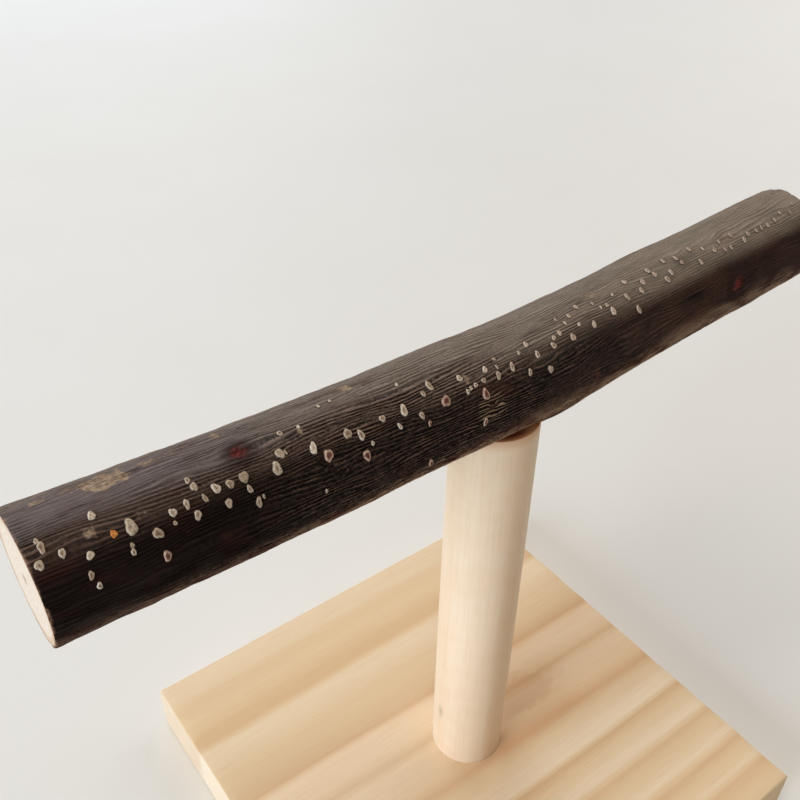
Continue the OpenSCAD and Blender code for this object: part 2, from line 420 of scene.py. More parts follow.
def barkRelief(t, a):  # height over the smooth skin in metres, and what the finish reads
    s = barkSettings
    along = t * branchLength / mm
    turn = np.radians(a)
    longer, wider, push = s["parting"]
    for knot in s["knots"]:
        far = markDistance(t, a, (knot[0], knot[1], knot[2] * longer, knot[3] * wider))
        turn = turn - np.radians(turnFrom(a, knot[1])) * push * np.exp(-far * far)
    wrinkle = np.exp(-markDistance(t, a, s["wrinkled"]) ** 2)

    def flow():  # where each point lies on a round bark, in millimetres
        return np.stack([along, np.cos(turn) * girthRadius, np.sin(turn) * girthRadius], -1)

    def grain(long, wide, seed):  # hills of this length and width
        return smoothNoise(flow() / (long, wide, wide), seed)

    sway = 0
    for long, wide, seed, amount, ruffled in s["sways"]:
        sway = sway + grain(long, wide, seed) * (amount + ruffled * wrinkle)
    hills = grain(22, 7, 11)
    turn = turn + sway / girthRadius
    phase = 3.4 * grain(15, 2.2, 18) + 1.7 * grain(5, 0.9, 19)
    strength = np.clip(grain(6, 1.5, 9) * 0.9 + 0.6, 0, 1)
    rib = (0.5 + 0.5 * np.cos(s["ribs"] * turn + phase)) * (0.3 + 0.7 * strength)
    fine = 1 - np.abs(grain(3, 0.42, 13))
    start, over, flat = s["worn"]
    middle, width, flatTop = s["wornTop"]
    worn = np.clip((along - start) / over, 0, 1) * flat + flatTop * np.exp(-(turnFrom(a, middle) / width) ** 2)
    ridge = rib * (1 - 0.7 * worn) + fine ** 3 * 0.2
    height = s["hills"] * hills - s["sunk"] + s["ridge"] * (ridge - 0.4)
    halo = 0
    (lip, lipWidth), (deeper, hollowWidth) = s["lip"], s["hollow"]
    for knot in s["knots"]:  # a raised lip round a hollow
        far = markDistance(t, a, knot)
        height = height + lip * np.exp(-(((far - 1) / lipWidth) ** 2))
        height = height - knot[4] * deeper * np.exp(-((far / hollowWidth) ** 2))
        halo = np.maximum(halo, np.exp(-((far / s["halo"]) ** 2)))
    for patch in s["patches"]:
        rise = np.clip(s["patchEdge"] - markDistance(t, a, patch), 0, 1)
        height = height + s["patchRise"] * patch[4] * rise
    inward, ragged, deep = s["chip"]
    fromCut = np.minimum(along, branchLength / mm - along)
    torn = inward + ragged * (grain(9, 2.2, 15) + 0.5 * grain(9, 0.8, 16))
    chip = np.clip((torn - fromCut) / s["chipSlope"], 0, 1)
    height = height - deep * chip
    found = {"grain": flow(), "phase": phase, "strength": strength}
    return height * mm, {**found, "wrinkle": wrinkle, "chip": chip, "halo": halo}


def markMask(t, a, marks, edge, seed):  # 1 inside the marks, with a ragged edge
    where = np.stack([t * branchLength / mm / 1.1, np.cos(np.radians(a)) * 11, np.sin(np.radians(a)) * 11], -1)
    ragged = smoothNoise(where, seed) * 0.4 + smoothNoise(where * 2.3, seed + 1) * 0.25
    mask = 0
    for mark in marks:
        inside = np.clip((1.1 + ragged - markDistance(t, a, mark)) / edge, 0, 1)
        mask = np.maximum(mask, inside * (mark[4] if len(mark) > 4 else 1))
    return mask


def makeBark():
    s = barkSettings
    shares = np.array(s["ringShares"])
    outer = [(float(np.interp(i / s["rings"], shares[:, 0], shares[:, 1])), 0) for i in range(s["rings"] + 1)]
    inner = [(1 - i / s["innerRings"], 1) for i in range(s["innerRings"] + 1)]
    walk = outer + [(1, depth) for depth in s["rim"]] + inner + [(0, depth) for depth in reversed(s["rim"])]
    first, last, seen, others = s["sides"]
    turns = np.concatenate([np.linspace(first, last, seen + 1), np.linspace(last, first + 360, others + 1)[1:]]) % 360
    bpy.ops.mesh.primitive_grid_add(x_subdivisions=len(turns) - 1, y_subdivisions=len(walk))
    bark = bpy.context.object
    bark.name = "bark_skin"
    order = np.arange(len(bark.data.vertices))
    t, depth = np.array(walk + walk[:1])[order // len(turns)].T
    a = turns[order % len(turns)]
    outside = barkRadius(t, a) + barkRelief(t, a)[0]
    setPoints(bark, branchPoint(t, a, outside * (1 - depth) + woodRadius(t, a) * depth))
    editAll(bark)
    bpy.ops.mesh.remove_doubles(threshold=s["weld"])  # closes the sheet into a sleeve
    closeEdit()
    recalculated(bark)
    cutAway(bark, seatCutter())
    points = pointsOf(bark)
    t, a, radius = branchPlace(points)
    height, found = barkRelief(t, a)
    outside = barkRadius(t, a) + height
    found["depth"] = np.clip((outside - radius) / (outside - woodRadius(t, a)), 0, 1)
    found["knotMark"] = markMask(t, a, [knot[:4] for knot in s["knots"]], 0.6, 21)
    found["knotRed"] = markMask(t, a, [knot[:4] for knot in s["knots"] if knot[5]], 0.7, 21)
    found["patchMark"] = markMask(t, a, s["patches"], 0.45, 31)
    fromPost = np.hypot(points[:, 0] - postAxis[0], points[:, 1] - postAxis[1]) - branchSettings["seatWidth"] / 2
    overPost = points[:, 2] - postHigh[2]
    found["cut"] = 1
    for distance, (limit, soft) in ((fromPost, s["bruise"]), (overPost, s["bruiseTop"])):
        found["cut"] = found["cut"] * np.clip((limit - distance / mm) / soft, 0, 1)
    addToMesh(bark, **found)
    smoothed(bark, 55)
    return bark


# Raised pores on the bark: along, turn, width round the branch in millimetres
poreSettings = {
    "pale": [
        (1.8, 131, 2.5), (3.3, 119, 2.8), (6, 129, 2.4), (9, 152, 1.9), (9.7, 162, 1.9), (10.1, 138, 2),
        (13.2, 110, 2.2), (17.1, 148, 1.8), (17.3, 143, 1.4), (18.4, 130, 3.6), (3, 113, 1.5), (22.3, 142, 2.6),
        (26.3, 132, 2.1), (29.3, 130, 2.4), (30.4, 141, 2.2), (32.1, 119, 2.5), (31.6, 112, 1.9), (33, 131, 2),
        (35.8, 127, 2.7), (36.9, 142, 2.4), (38.7, 128, 2.3), (41.8, 127, 2.9), (41.9, 138, 1.9),
        (42.7, 151, 2.5), (48.8, 131, 3.3), (50.8, 120, 2.7), (53.3, 102, 2), (57.4, 167, 1.3),
        (57.8, 127, 3.1), (66.2, 127, 2.8), (68.9, 133, 2.8), (52, 121, 1.2), (70.7, 144, 1.4), (75.2, 127, 2),
        (78.3, 140, 1.9), (80.8, 128, 3.2), (84.4, 139, 2.2), (87.1, 121, 2), (89.5, 116, 3), (97.7, 136, 1.7),
        (97.3, 121, 2), (98.8, 134, 1.4), (100.3, 133, 1.5), (102.8, 132, 1.6), (104.4, 123, 2),
        (107.1, 133, 2.4), (107.7, 125, 1.3), (111.6, 131, 2.6), (115.2, 121, 1.3), (115.8, 143, 2),
        (118.3, 116, 2.1), (119.8, 130, 2.3), (121.9, 149, 2.2), (125.4, 129, 2.2), (126.6, 122, 1.6),
        (128.9, 120, 2), (132, 130, 2.4), (132.2, 113, 1.4), (134.7, 108, 1.7), (135.7, 121, 1.4),
        (138.6, 102, 1.9), (140, 128, 2.4), (143.6, 107, 1.3), (147.8, 125, 2.6), (147.2, 116, 1.5),
        (154.6, 118, 2.3), (156, 136, 2.4), (157.5, 101, 1.8), (160.1, 119, 2), (162.4, 111, 2.1),
        (166.8, 101, 2), (167.7, 109, 2), (170.3, 121, 2.2), (172.9, 116, 2.2), (173.8, 99, 1.6),
        (178, 103, 1.9), (178.6, 111, 1.6), (184.5, 100, 1.8), (184.6, 121, 2), (188.5, 108, 1.3),
        (191.7, 116, 1.7), (195.3, 109, 1.6), (195.4, 121, 1.6), (197.9, 122, 1.5), (200.8, 109, 1.8),
        (204.2, 121, 2), (206.9, 117, 1.7), (210.4, 118, 1.5), (212.9, 118, 1.5), (215.7, 119, 1.7),
        (219.6, 117, 1.6), (223.5, 112, 1.4), (227.5, 117, 1.6), (231, 108, 1.4), (57.5, 103, 1.3),
        (64.5, 89, 1.2), (67.5, 88, 1.2), (83, 101, 1.2), (44, 148, 1.2), (25.9, 140, 1.1), (108.2, 117, 1.1),
        (151, 108, 1.2), (145, 115, 1.2), (130.6, 105, 1.2),
    ],
    # reddish ones with a pale rim, and a single resinous one
    "red": [
        (22.5, 161, 2.9), (60.2, 138, 3.3), (68.5, 152, 3), (85, 193, 2.8), (102, 145, 3.2), (91.5, 136, 3.2),
        (100.5, 172, 2.5), (85.6, 149, 1.5), (136, 262, 2.4), (34, 238, 2.4),
    ],
    "resin": [(15.2, 130, 1.9)],
    # more of them round the side that the photo doesn't show, within these
    "hidden": 120, "hiddenTurns": (-100, 36), "hiddenAlong": (2, 234), "hiddenWidths": (1.3, 2.9), "hiddenRed": 0.1,
    "sides": 16, "steps": [(0.14, 0.6), (0.2, 0.4), (0.24, -0.1), (0.2, -0.3)],  # each ring's inset and rise
    "lobes": [(2, 0.1), (3, 0.09), (5, 0.05)],  # how many, how deep
    "round": 0.9, "slender": 0.68, "slit": (0.5, 1.3), "lean": 14, "spread": (0.8, 1.2),
    "wider": (120, 60, 0.12),  # toward the right end: from, over, share
    "proud": 0.27, "prouder": (0.6, 0.14), "sunk": 0.5, "lift": 0.05, "ends": (0.002, 0.998),
    "seed": 7,
}


def makePore():  # one raised oval with a narrow slit in the middle, 2 units across
    s = poreSettings
    bpy.ops.mesh.primitive_cylinder_add(vertices=s["sides"], radius=1, depth=1, location=(0, 0, -0.5))
    pore = settle(bpy.context.object)
    editPicked(pore, "polygons", lambda corners: all(corner.z > -0.1 for corner in corners))
    for thickness, rise in s["steps"]:
        bpy.ops.mesh.inset(thickness=thickness, depth=0)
        bpy.ops.transform.translate(value=(0, 0, rise))
    bpy.ops.transform.resize(value=(*s["slit"], 1))
    return closeEdit()


def makePores():
    s = poreSettings
    draw = random.Random(s["seed"])
    kinds = {"pale": (0, 0), "red": (1, 0), "resin": (0, 1)}
    places = [(*place, *kind) for name, kind in kinds.items() for place in s[name]]
    seen = len(places)
    first, last = s["hiddenTurns"]
    while len(places) < seen + s["hidden"]:
        turn = draw.gauss((first + last) / 2, (last - first) / 4)
        if first < turn < last:
            along, width = draw.uniform(*s["hiddenAlong"]), draw.uniform(*s["hiddenWidths"])
            places.append((along, turn, width, draw.random() < s["hiddenRed"], 0))
    pattern = makePore()
    shape = pointsOf(pattern)
    around = np.arctan2(shape[:, 1], shape[:, 0])
    start, over, wider = s["wider"]
    base = barkSettings["hills"] - barkSettings["sunk"] + s["lift"]
    made = []
    for along, turn, width, red, resin in places:
        pore = bpy.data.objects.new("pore", pattern.data.copy())
        bpy.context.collection.objects.link(pore)
        lean = radians(draw.uniform(-s["lean"], s["lean"]))
        half = width / 2 * (1 + wider * min(max((along - start) / over, 0), 1))
        lump = s["round"]
        for lobes, deep in s["lobes"]:
            lump = lump + deep * np.sin(lobes * around + draw.uniform(0, 6))
        u = shape[:, 0] * half * s["slender"] * draw.uniform(*s["spread"]) * lump
        v = shape[:, 1] * half * lump
        u, v = u * cos(lean) - v * sin(lean), u * sin(lean) + v * cos(lean)
        t = np.clip((along + u) * mm / branchLength, *s["ends"])
        a = turn + np.degrees(v / girthRadius)
        proud, more = s["prouder"]
        rise = shape[:, 2] * s["proud"] * (proud + more * width) * draw.uniform(*s["spread"])
        rise = np.where(shape[:, 2] < -0.9, -s["sunk"], rise) + base
        setPoints(pore, branchPoint(t, a, barkRadius(t, a) + rise * mm))
        count = len(shape)
        inside = np.column_stack([shape[:, :2], np.full(count, draw.random())])
        rim = np.clip(shape[:, 2], 0, 1)
        addToMesh(pore, inside=inside, rim=rim, red=np.full(count, red), resin=np.full(count, resin))
        made.append(pore)
    bpy.data.objects.remove(pattern)
    pores = recalculated(joined(*made))
    pores.name = "bark_pores"
    smoothed(pores, 60)
    return pores


def barkFinish():
    f = Finish("bark")
    grain = f.reading("grain", "Vector")
    along, back, up = f.parts(grain)

    def facing(turn, full, none):  # 1 on the side that faces this turn, 0 past none degrees from it
        turn, full, none = [radians(angle) for angle in (turn, full, none)]
        toward = back * (cos(turn) / girthRadius) + up * (sin(turn) / girthRadius)
        return toward.between(cos(none), cos(full))

    def strand(long, wide, detail=3):  # noise this long and wide, in millimetres
        return f.noise(f.vector("MULTIPLY", grain, (1 / long, 1 / wide, 1 / wide)), 1, detail, 0.6)

    runs = strand(4, 0.7)  # each ridge comes and goes along its length
    fibre = strand(3, 0.33, 4)
    cloud = strand(16, 6)
    speck = strand(0.7, 0.35)
    wobble = (fibre - 0.5) * 3.4 + (speck - 0.5) * 3
    rib = up.maths("ARCTAN2", back) * barkSettings["ribs"] + f.reading("phase") + wobble
    rib = rib.maths("COSINE") * 0.5 + 0.5
    blot = f.noise((0.7, 1, 1), 0.6, 5, 0.65)
    wrinkle = f.reading("wrinkle").between(0.25, 0.65)
    beyond = along.between(80, 120)
    # Light painted into the bark's colour by the side each part faces: top is partly the bark's greyer tone and
    # partly painted sheen, shade is painted shade on the lower front, under is partly browner bark and partly painted
    # bounce light from the floor
    top = facing(74, 12, 38) * (1 - beyond) + facing(88, 20, 60) * beyond
    shade = facing(162, 15, 42) * along.between(175, 140) + facing(164, 14, 34) * along.between(180, 205) * 0.7
    under = facing(228, 18, 40) * (1 - beyond) + facing(226, 20, 50) * beyond * 0.85
    # the grey, low-contrast top toward the left end: partly the bark's own grey tone, partly painted sheen
    greySheenLeft = facing(86, 12, 32) * along.between(80, 25)
    right = along.between(105, 185)
    fading = (top * 0.35).maths("MAXIMUM", along.between(60, 20) * 0.5).maths("MAXIMUM", right * 0.6)
    clear = (f.reading("strength") * 0.8 + (runs - 0.5) * 2.2 + 0.2).clamped()  # how plainly a ridge shows
    crest = (rib - shade * 0.3).between(0.25, 0.95) * clear + (1 - clear) * (0.25 - shade * 0.2)
    light = crest * 0.95 + ((fibre - 0.5) * 1.1 + (speck - 0.5) * 1.4) * (1 - shade * 0.3) + 0.02
    light = light * (1 - fading) + fading * 0.4
    # painted sheen lightens the top, painted shade darkens the lower front
    light = light * (1 - shade * 0.2) + top * (0.2 + beyond * 0.12)
    light = light * (1 - greySheenLeft * 0.4) + greySheenLeft * 0.16 + right * (cloud - 0.5)
    light = (light * (1 - wrinkle) + wrinkle * rib.between(0.6, 0.9)).clamped()
    # the underside's browns, partly painted bounce light from the floor
    beneath = f.coats(
        f.mix(beyond, (30, 16, 13), f.mix(cloud.between(0.4, 0.6), (50, 20, 13), (108, 84, 66))),
        ((1 - beyond) * cloud.between(0.4, 0.6), (56, 32, 26)),
    )
    # furrow and ridge colours carry the painted top sheen, lower-front shade and underside bounce
    furrow = f.coats(
        f.mix(top, (12, 7, 5), (46, 39, 34)),
        (right, f.mix(top, (33, 18, 12), (88, 78, 69))),
        (greySheenLeft, (56, 46, 45)),
        (shade * (1 - right), (9, 5, 4)),
        (under, beneath),
    )
    ridge = f.coats(
        f.mix(top, (134, 112, 100), (156, 142, 130)),
        (right, f.mix(top, (88, 60, 46), (154, 140, 124))),
        (greySheenLeft, (146, 134, 132)),
        (shade * 0.75, f.mix(right, (138, 108, 92), (72, 42, 32))),
        (shade * along.between(62, 36), (58, 37, 34)),
        (under, f.mix(cloud.between(0.36, 0.56), (112, 56, 40), (192, 160, 130))),
        (under * along.between(80, 40) * 0.6, (92, 68, 62)),
        (wrinkle, (152, 130, 108)),
    )
    flake = f.noise((0.8, 1, 1), 1.4, 4, 0.6)
    patch = (f.reading("patchMark") + (blot - 0.5) * 1.2).between(0.38, 0.66)
    low = facing(185, 20, 60)
    flaky, flaked = flake.between(0.4, 0.62), flake.between(0.35, 0.6)
    tan = f.mix(low, f.mix(flaky, (140, 118, 98), (182, 161, 138)), f.mix(flaky, (84, 50, 40), (140, 96, 78)))
    knot = f.mix(f.reading("knotRed"), (30, 19, 16), f.mix(flaked, (70, 22, 23), (120, 52, 48)))
    depth = f.reading("depth")
    colour = f.coats(
        f.mix(light, furrow, ridge),
        (cloud.between(0.52, 0.72) * 0.35, (72, 34, 26)),
        # a painted grey sheen over the top
        (top * cloud.between(0.5, 0.3) * 0.35, (124, 117, 105)),
        (patch * (0.85 - low * 0.3 - right * 0.3), tan),
        (f.reading("halo").between(0.25, 0.8) * 0.65, (40, 22, 20)),
        (f.reading("knotMark") * 0.9, knot),
        (f.reading("chip") * 0.9, f.mix(flaked, (80, 42, 28), (158, 120, 90))),
        (depth.between(0.08, 0.24), f.mix(depth.between(0.15, 0.6), (112, 76, 58), (206, 176, 148))),
        (f.reading("cut") * 0.9, f.mix(flaked, (96, 40, 18), (170, 98, 52))),
    )
    roughness = 0.72 - light * 0.12 + patch * 0.16
    height = fibre * 0.5 + speck * 0.4 + crest * 0.9
    return f.close(colour, roughness, height, 0.2 * mm, Specular_IOR_Level=0.1)


def poreFinish():
    f = Finish("bark pores")
    speckle = f.noise((1, 1, 1), 1.7, 4, 0.65)
    across, lengthways, tone = f.parts(f.reading("inside", "Vector"))
    spread = (speckle - 0.5) * 1.6
    far = across.hypot(lengthways)
    dots = f.noise((1, 1, 1), 2.6, 2)
    along = f.parts(f.place())[0]
    middle = (far + spread * 0.5).between(0.75, 0.3) * (tone * 7.3).maths("FRACT")
    slit = (across * 5 ** 0.5).hypot(lengthways * 2 ** 0.5) + spread
    slitShown = (tone * 3.7).maths("FRACT").between(0.3, 0.8) * 0.7
    redWood = f.mix((far + spread * 0.5).between(0.72, 0.38), (196, 164, 144), (100, 44, 32))
    resin = f.mix(speckle.between(0.4, 0.7), (190, 104, 38), (232, 180, 100))
    colour = f.coats(
        f.mix(tone, (172, 154, 132), (232, 220, 199)),
        (along.between(-60, 10) * 0.5, (214, 190, 174)),
        (middle * 0.85, (134, 108, 84)),
        (slit.between(0.6, 0.2) * slitShown, (84, 54, 42)),
        (speckle.between(0.5, 0.7) * 0.5, (140, 112, 92)),
        (dots.between(0.54, 0.64) * 0.6, (112, 80, 64)),
        (far.between(0.78, 1) * 0.4, (118, 98, 86)),
        (along.between(10, 70) * 0.4, (158, 138, 126)),  # weathered toward the right end
        (f.reading("red") * 0.9, f.mix(dots.between(0.54, 0.6) * 0.7, redWood, (70, 26, 20))),
        (f.reading("resin"), resin),
        (f.reading("rim").between(0.5, 0.05) * 0.8, (40, 26, 23)),
    )
    return f.close(colour, 0.75 - speckle * 0.1, speckle, 0.12 * mm, Specular_IOR_Level=0.3)


bark = makeBark()
finished(bark, barkFinish(), "branch_bark")
pores = makePores()
finished(pores, poreFinish(), None)


# The branch's wood, with saw marks on its ends and a drying crack on the right one
woodSettings = {
    "sides": 144, "rings": 60, "endRings": 26,
    "sawDepth": 0.05, "sawPitch": 0.8, "sawTurn": 22,
    "cracks": [(1, 140, 0.2, 0.9)],  # end, turn, from and to shares of the radius
    "crackDepth": 0.5, "crackWidth": 0.16, "crackSway": (6, 9), "crackEnds": 0.1,
}


def makeBranchWood():
    s = woodSettings
    shares = [i / s["endRings"] for i in range(s["endRings"] + 1)]
    walk = [(0, share) for share in shares] + [(i / s["rings"], 1) for i in range(1, s["rings"])]
    walk += [(1, share) for share in reversed(shares)]
    bpy.ops.mesh.primitive_uv_sphere_add(segments=s["sides"], ring_count=len(walk) - 1, radius=1)
    wood = bpy.context.object
    wood.name = "branch_core"
    ball = pointsOf(wood)
    ring = np.rint((1 - np.arccos(np.clip(ball[:, 2], -1, 1)) / pi) * (len(walk) - 1)).astype(int)
    a = np.rint(np.degrees(np.arctan2(ball[:, 1], ball[:, 0])) * s["sides"] / 360) * 360 / s["sides"] % 360
    t, share = np.array(walk)[ring].T
    radius = woodRadius(t, a) * share
    points = branchPoint(t, a, radius)
    aside, above = radius * np.cos(np.radians(a)) / mm, radius * np.sin(np.radians(a)) / mm
    across = aside * cos(radians(s["sawTurn"])) + above * sin(radians(s["sawTurn"]))
    rough = smoothNoise(np.stack([aside * 1.6, above * 1.6, t * 9], -1), 41)
    depth = s["sawDepth"] * (1 + 0.6 * np.sin(across * 2 * pi / s["sawPitch"]) + 0.5 * rough)
    for end, turn, start, stop in s["cracks"]:
        sway, often = s["crackSway"]
        aim = np.radians(turn + sway * np.sin(share * often))
        off = np.abs(aside * np.sin(aim) - above * np.cos(aim))
        ahead = aside * np.cos(aim) + above * np.sin(aim) > 0
        reach = np.clip(np.minimum(share - start, stop - share) / s["crackEnds"], 0, 1)
        depth = depth + s["crackDepth"] * np.exp(-(off / s["crackWidth"]) ** 2) * ahead * reach * (t == end)
    depth = np.maximum(depth, 0) * np.clip((1 - share) * 12, 0, 1)
    points[:, 0] += np.where(t < 0.5, 1, -1) * depth * mm * ((t == 0) | (t == 1))
    setPoints(wood, points)
    recalculated(wood)
    over, screwTop = branchSettings["boreOver"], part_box("branch_screw")[1][2]
    bore = cylinder(branchSettings["boreWidth"], postHigh[2] - over, screwTop + over, 48)
    cutAway(wood, bore, seatCutter())
    smoothed(wood, 40)
    return wood


def branchWoodFinish():
    f = Finish("sawn branch wood")
    x, y, z = f.parts(f.place())
    left, right = [np.array(branchMiddle(np.array(float(t)))) / mm for t in (0, 1)]
    far = x.between(-60, 60)
    dy = y - (far * (right[1] - left[1]) + left[1])
    dz = z - (far * (right[2] - left[2]) + left[2])
    radius = dy.hypot(dz)
    wander = f.noise((1, 1, 1), 0.16, 2) * 1.6
    rings = ((radius + wander) * 3.9).maths("SINE") * 0.5 + 0.5
    pores = f.noise((0.3, 1, 1), 3.4, 4, 0.65)
    outward = f.node("CombineXYZ", None, {0: dy / radius * 4, 1: dz / radius * 4, 2: radius * 0.1})
    rays = f.noise(outward, 2, 2)
    colour = f.coats(
        (218, 202, 184),
        (rings.between(0.2, 1) * 0.28, (204, 178, 150)),
        (pores.between(0.45, 0.75) * 0.3, (196, 160, 132)),
        (radius.between(1.6, 0.5) * 0.7, (140, 96, 66)),  # the pith
        (radius.between(11, 12.6) * 0.6, (190, 150, 114)),
    )
    height = pores * 0.5 + rays * 0.4 + rings * 0.2
    return f.close(colour, 0.7 + pores * 0.1, height, 0.15 * mm)


finished(makeBranchWood(), branchWoodFinish(), "branch_wood")


# The post, a turned rod with eased ends, raised ring by ring from its foot
postSettings = {
    "ease": 0.4, "easeSteps": 3, "rings": 88, "sides": 128,
    "bores": [(4.6, 12, 52), (5.6, 129, 155)],  # width, from, to
    "wave": 0.035, "waveSize": (26, 8),  # how uneven, how long and how wide each wave
    # height, turn, half height, half width, depth
    "dents": [
        (38, 175, 2.4, 1.1, 0.3), (27.5, 236, 1, 1.2, 0.08), (96, 300, 3, 1, 0.08), (71, 60, 1.6, 1.4, 0.1),
    ],
}


def turned(name, profile, sides):  # a solid about the post's axis, from radii and heights
    radius, height = profile[0]
    bpy.ops.mesh.primitive_circle_add(vertices=sides, radius=radius, fill_type="NGON", location=(*postAxis, height))
    piece = settle(bpy.context.object)
    piece.name = name
    editAll(piece)
    for nextRadius, nextHeight in profile[1:]:
        bpy.ops.mesh.extrude_region_move(TRANSFORM_OT_translate={"value": (0, 0, nextHeight - height)})
        grow = nextRadius / radius
        bpy.ops.transform.resize(value=(grow, grow, 1), center_override=(*postAxis, nextHeight))
        radius, height = nextRadius, nextHeight
    closeEdit()
    return recalculated(piece)


def dentMask(points, dent):  # 1 in the middle of a dent
    height, turn, tall, wide = dent[:4]
    x, y, z = (points - (*postAxis, 0)).T
    around = np.radians(turnFrom(np.degrees(np.arctan2(y, x)), turn)) * postRadius / mm
    return np.exp(-(((z / mm - height) / tall) ** 2) - (around / wide) ** 2)


def makePost():
    s = postSettings
    ease = s["ease"] * mm
    low, high = postLow[2] + ease, postHigh[2] - ease
    corner = [pi / 2 * i / s["easeSteps"] for i in range(s["easeSteps"] + 1)]
    profile = [(postRadius - ease * (1 - sin(c)), low - ease * cos(c)) for c in corner]
    profile += [(postRadius, low + (high - low) * i / s["rings"]) for i in range(1, s["rings"])]
    profile += [(postRadius - ease * (1 - cos(c)), high + ease * sin(c)) for c in corner]
    post = turned("post_rod", profile, s["sides"])
    points = pointsOf(post)
    off = points[:, :2] - postAxis
    long, wide = s["waveSize"]
    wave = np.column_stack([points[:, 2] / long, off / wide]) / mm
    hollow = s["wave"] * (1 + smoothNoise(wave, 51))
    for dent in s["dents"]:
        hollow = hollow + dent[4] * dentMask(points, dent)
    shrink = 1 - hollow * mm / np.maximum(np.hypot(*off.T), mm)
    points[:, :2] = postAxis + off * shrink[:, None]
    setPoints(post, points)
    for width, start, stop in s["bores"]:
        cutAway(post, cylinder(width * mm, start * mm, stop * mm, 48))
    smoothed(post, 35)
    addToMesh(post, dent=dentMask(pointsOf(post), s["dents"][0]))
    return post


def postFinish():
    f = Finish("pale post")
    fibre = f.noise((1.3, 1.3, 0.035), 1.5, 5, 0.6)
    band = f.noise((0.5, 0.5, 0.012), 0.55)
    fleck = f.noise((2.6, 2.6, 0.16), 1.2, 2).between(0.66, 0.8)
    rings = f.noise((0.6, 0.6, 0.03), 0.9, 2, 0.4)
    onTop = f.parts(f.node("NewGeometry", output="Normal"))[2].between(0.6, 0.9)
    x, y, z = f.parts(f.place())
    fromAxis = (x - postAxis[0] / mm).hypot(y - postAxis[1] / mm)
    shadedEndGrain = f.coats(  # painted shade and warm bounce light in the gap under the branch: dark by the seat, lighter and oranger toward the right and the rim
        f.mix(x.between(0, 7), (116, 52, 26), (214, 164, 116)), (fromAxis.between(9.7, 11.2), (186, 124, 78)),
    )
    turning = f.noise((0.3, 0.3, 0.5), 0.3)  # faint marks of the lathe
    colour = f.coats(
        (243, 219, 190),
        (band.between(0.3, 0.7) * 0.5, (236, 205, 170)),
        (fibre.between(0.4, 0.8) * 0.22, (216, 174, 132)),
        (fleck * 0.22, (180, 136, 98)),
        (z.between(150, 153.8) * 0.6, (210, 154, 108)),  # painted warm shade in a band under the seat
        # painted shade on the post's top under the branch
        (onTop, shadedEndGrain),
        (turning.between(0.42, 0.66) * 0.14, (226, 188, 146)),
        # painted shade in the dent near the foot
        (f.reading("dent") * (0.3 + fleck + fibre * 0.8), (178, 160, 130)),
    )
    height = fibre * 0.7 + rings * 0.3
    return f.close(colour, 0.5 + fibre * 0.12, height, 0.06 * mm)


finished(makePost(), postFinish(), "post")


# The board, a planed block with rounded edges and growth bands
boardSettings = {
    "ease": 0.6 * mm, "easeSteps": 4, "cuts": 48,
    "wear": (0.16, 0.8, 9, 2.6),  # how deep and how far in the edges are worn, and the length of its two waves
    # the socket and the bore: width, from, to, sides
    "cut": [(23.04, 12, 24, 128), (4.9, -6, 24, 64)],
    "sink": (9, 0.5, 1),  # the screw head's width, how far it lies in, how far below its cutter starts
    # growth bands: place on top along Y and darkness
    "bands": [
        (76, 0.1), (66, 0.12), (61, 0.38), (57, 0.2), (50, 0.6), (46, 0.62), (43.4, 0), (37, 0.15), (29, 0.32),
        (23, 0.55), (18.2, 0.85), (15.6, 0.1), (11, 0.1), (7, 0.25), (3.8, 0.72), (0.5, 0.1), (-7, 0.32),
        (-13.4, 0.85), (-18, 0.45), (-22, 0.12), (-27, 0), (-29.6, 0.75), (-34, 0.35), (-39.6, 0),
        (-42.6, 0.65), (-47, 0.35), (-52, 0.05), (-55, 0.68), (-61, 0.25), (-63.4, 0.1), (-65.8, 0.65),
        (-72, 0.3),
    ],
    "span": (-84, 84),
    "pink": ((-17, -13), (21, 17)),  # the middle of the board is pinker: where it begins and ends along Y
    "pale": ((-23, -9), (27, 13)),  # and painted lighter, a pool of painted light over the shade of the branch and post
    "paleLeft": (12, -6), "paleRight": (34, 50),  # along X
    "lean": (0.028, (-26, -10), (30, 18)),  # the middle bands run a little askew
    "postShadow": (28, 0, 14, 6.5),  # a painted soft shadow of the post, beside it
    "pithY": 130, "pithZ": 38, "top": 18,
}


